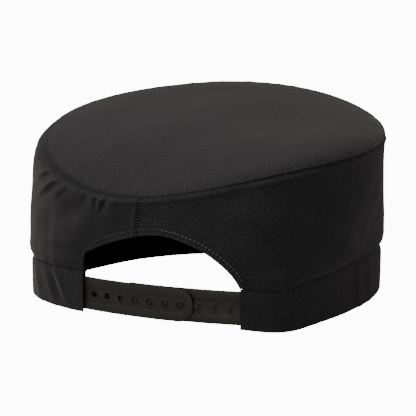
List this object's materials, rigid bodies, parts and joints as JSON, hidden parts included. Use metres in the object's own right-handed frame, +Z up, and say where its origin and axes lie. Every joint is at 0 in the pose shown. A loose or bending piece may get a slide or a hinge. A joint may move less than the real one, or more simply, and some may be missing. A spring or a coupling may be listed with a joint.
{
  "type": "chef skull cap",
  "caption": "Low pillbox chef cap with an oval crown sloping to the back, a head band, an arched rear opening and a snap-together size strap.",
  "frame": {"origin": "middle of the cap's outline, on the surface that the hem stands on", "axes": "+Z up through the crown, +Y to the back where the size strap is, -Y to the forehead, +X to the wearer's left"},
  "size_m": [0.198, 0.1951, 0.1133],
  "materials": {
    "twill": "matte black poly-cotton twill",
    "twill_edge": "folded and pressed black twill",
    "lining": "matte black cotton lining",
    "thread": "black polyester thread, slight sheen",
    "label": "blank woven satin label",
    "moulded_strap": "moulded black polyethylene, semi-matte"
  },
  "bodies": {
    "cap": {"crown_panel": "twill", "side_wall": "twill", "head_band": "twill", "opening_binding": "twill_edge", "crown_seam_ridge": "twill_edge", "back_seam_ridge": "twill_edge", "crown_seam_allowance": "lining", "back_seam_allowance": "lining", "band_interlining": "lining", "sweatband": "lining", "care_label": "label", "crown_overlock_stitches": "thread", "back_overlock_stitches": "thread", "sweatband_stitches": "thread", "opening_stitches": "thread", "socket_tack_stitches": "thread", "stud_tack_stitches": "thread", "label_stitches": "thread", "socket_strap_tab": "moulded_strap", "stud_strap_tab": "moulded_strap"},
    "socket_strap_end": {"socket_strap": "moulded_strap"},
    "stud_strap_end": {"stud_strap": "moulded_strap"}
  },
  "joints": [
    {"name": "socket_strap_peel", "type": "hinge", "parent": "cap", "child": "socket_strap_end", "pos_m": [0.03374, 0.09104, 0.0108], "axis": [0, 0, -1], "range_deg": [0, 110], "stiffness_Nm_per_rad": 0.02},
    {"name": "stud_strap_flex", "type": "hinge", "parent": "cap", "child": "stud_strap_end", "pos_m": [-0.05425, 0.08662, 0.0108], "axis": [0, 0, -1], "range_deg": [0, 40], "stiffness_Nm_per_rad": 0.02}
  ]
}
